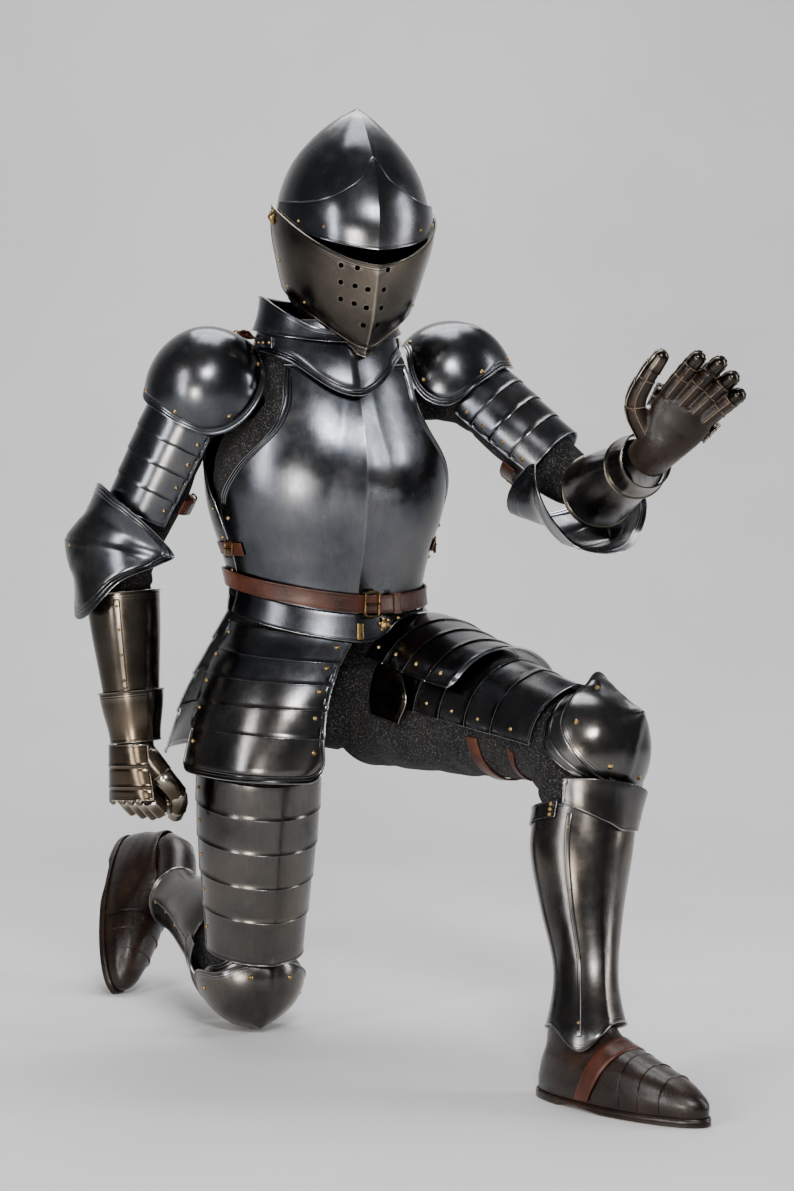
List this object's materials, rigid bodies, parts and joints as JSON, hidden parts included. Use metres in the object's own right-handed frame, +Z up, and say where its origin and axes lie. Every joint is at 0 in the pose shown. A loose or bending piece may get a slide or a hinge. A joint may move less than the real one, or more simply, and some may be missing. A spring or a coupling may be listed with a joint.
{
  "type": "suit of plate armour",
  "caption": "Hollow suit of plate armour kneeling on its right knee, left hand raised, with a hinged visor, gloves, shoes, straps and arming cloth.",
  "frame": {"origin": "centre of the waist, on the wearer's own axis inside the cuirass, where the wearer carries the suit", "axes": "+Z up, the suit faces -Y, its own left is +X"},
  "size_m": [0.7684, 1.2715, 1.2993],
  "materials": {
    "steel": "dark polished steel, finely brushed",
    "brown_steel": "polished steel with a warm brown patina",
    "brass": "aged brass",
    "strap_leather": "red-brown strap leather",
    "shoe_leather": "glossy dark brown leather",
    "glove_leather": "worn dark brown leather",
    "arming_cloth": "charcoal felt"
  },
  "bodies": {
    "suit": {"skull": "steel", "brow_plate": "steel", "gorget": "steel", "neck_lame": "steel", "breastplate": "steel", "backplate": "steel", "fauld": "steel", "culet": "steel", "tasset_right_1": "steel", "tasset_right_2": "steel", "tasset_right_3": "steel", "tasset_right_4": "steel", "tasset_right_5": "steel", "tasset_left_1": "steel", "tasset_left_2": "steel", "tasset_left_3": "steel", "tasset_left_4": "steel", "pauldron_right": "steel", "arm_lames_right": "steel", "couter_right": "steel", "cuisse_right": "steel", "poleyn_right": "steel", "knee_lame_right": "steel", "greave_right": "steel", "pauldron_left": "steel", "arm_lames_left": "steel", "couter_left": "steel", "cuisse_left": "steel", "poleyn_left": "steel", "knee_lame_left": "steel", "greave_left": "steel", "vambrace_right": "brown_steel", "vambrace_left": "brown_steel", "gauntlet_cuff_right": "brown_steel", "gauntlet_cuff_left": "brown_steel", "hand_plate_right": "brown_steel", "hand_plate_left": "brown_steel", "belt_buckle": "brass", "waist_belt": "strap_leather", "arm_strap_right": "strap_leather", "arm_strap_left": "strap_leather", "thigh_strap_1": "strap_leather", "thigh_strap_2": "strap_leather", "shoe_right": "shoe_leather", "shoe_left": "shoe_leather", "sole_right": "shoe_leather", "sole_left": "shoe_leather", "glove_right": "glove_leather", "glove_left": "glove_leather", "doublet": "arming_cloth", "breeches": "arming_cloth", "sleeve_right": "arming_cloth", "sleeve_left": "arming_cloth", "hose_right": "arming_cloth", "hose_left": "arming_cloth"},
    "visor": {"visor": "brown_steel", "pivot_right": "brass", "pivot_left": "brass"}
  },
  "joints": [
    {"name": "visor_lift", "type": "hinge", "parent": "suit", "child": "visor", "pos_m": [0.02, -0.05, 0.516], "axis": [-0.9952, 0.0958, 0.0209], "range_deg": [0, 50]}
  ]
}
